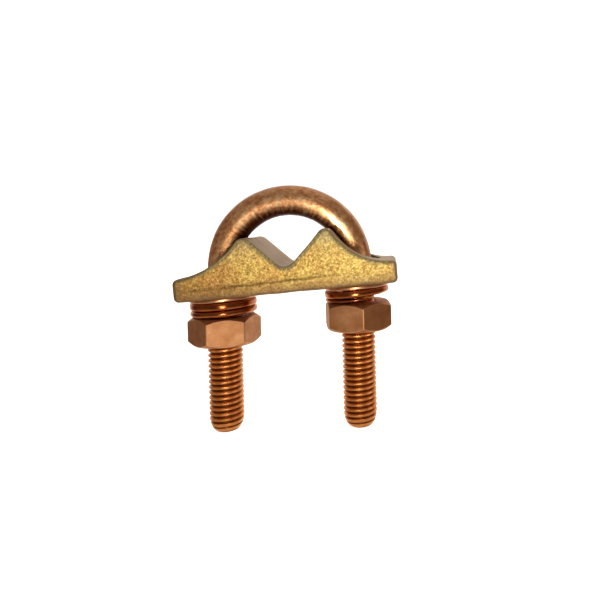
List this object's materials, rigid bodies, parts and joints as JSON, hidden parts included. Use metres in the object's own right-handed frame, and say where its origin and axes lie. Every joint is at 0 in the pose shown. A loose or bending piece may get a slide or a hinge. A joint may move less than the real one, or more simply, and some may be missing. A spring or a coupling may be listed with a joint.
{
  "type": "ground clamp",
  "caption": "U-bolt earth-rod clamp: threaded copper U-bolt, cast V saddle, and a washer set and hexagon nut on each leg.",
  "frame": {"origin": "centre of the U-bolt's bow, where a rod that fills the bow has its axis", "axes": "+X from the left leg to the right leg, +Y along the clamped rod, +Z along the legs from their tips towards the bow"},
  "size_m": [0.0602, 0.024, 0.07],
  "materials": {
    "copper_rod": "drawn, satin",
    "cast_gunmetal": "as cast, grainy",
    "copper_washer": "satin",
    "copper_spring": "satin",
    "copper_nut": "satin"
  },
  "bodies": {
    "u_bolt": {"u_bolt": "copper_rod"},
    "saddle": {"saddle": "cast_gunmetal"},
    "left_flat_washer": {"left_flat_washer": "copper_washer"},
    "left_spring_washer": {"left_spring_washer": "copper_spring"},
    "left_nut": {"left_nut": "copper_nut"},
    "right_flat_washer": {"right_flat_washer": "copper_washer"},
    "right_spring_washer": {"right_spring_washer": "copper_spring"},
    "right_nut": {"right_nut": "copper_nut"}
  },
  "joints": [
    {"name": "saddle_slide", "type": "slide", "parent": "u_bolt", "child": "saddle", "axis": [0, 0, 1], "range_m": [-0.015, 0]},
    {"name": "left_washer_slide", "type": "slide", "parent": "saddle", "child": "left_flat_washer", "axis": [0, 0, 1], "range_m": [-0.006, 0]},
    {"name": "left_clamp_turn", "type": "hinge", "parent": "left_flat_washer", "child": "left_spring_washer", "pos_m": [-0.01925, 0, -0.011], "axis": [0, 0, 1], "range_deg": [-3601, 0]},
    {"name": "left_nut_turn", "type": "hinge", "parent": "left_spring_washer", "child": "left_nut", "pos_m": [-0.01925, 0, -0.0174], "axis": [0, 0, 1], "range_deg": [-1441, 0]},
    {"name": "right_washer_slide", "type": "slide", "parent": "saddle", "child": "right_flat_washer", "axis": [0, 0, 1], "range_m": [-0.006, 0]},
    {"name": "right_clamp_turn", "type": "hinge", "parent": "right_flat_washer", "child": "right_spring_washer", "pos_m": [0.01925, 0, -0.008], "axis": [0, 0, 1], "range_deg": [-3601, 0]},
    {"name": "right_nut_turn", "type": "hinge", "parent": "right_spring_washer", "child": "right_nut", "pos_m": [0.01925, 0, -0.0143], "axis": [0, 0, 1], "range_deg": [-1441, 0]}
  ],
  "couplings": [
    {"joint": "left_clamp_turn", "follows": "saddle_slide", "rad_per_m": 4188.8},
    {"joint": "right_clamp_turn", "follows": "saddle_slide", "rad_per_m": 4188.8},
    {"joint": "left_nut_turn", "follows": "left_washer_slide", "rad_per_m": 4188.8},
    {"joint": "right_nut_turn", "follows": "right_washer_slide", "rad_per_m": 4188.8}
  ]
}
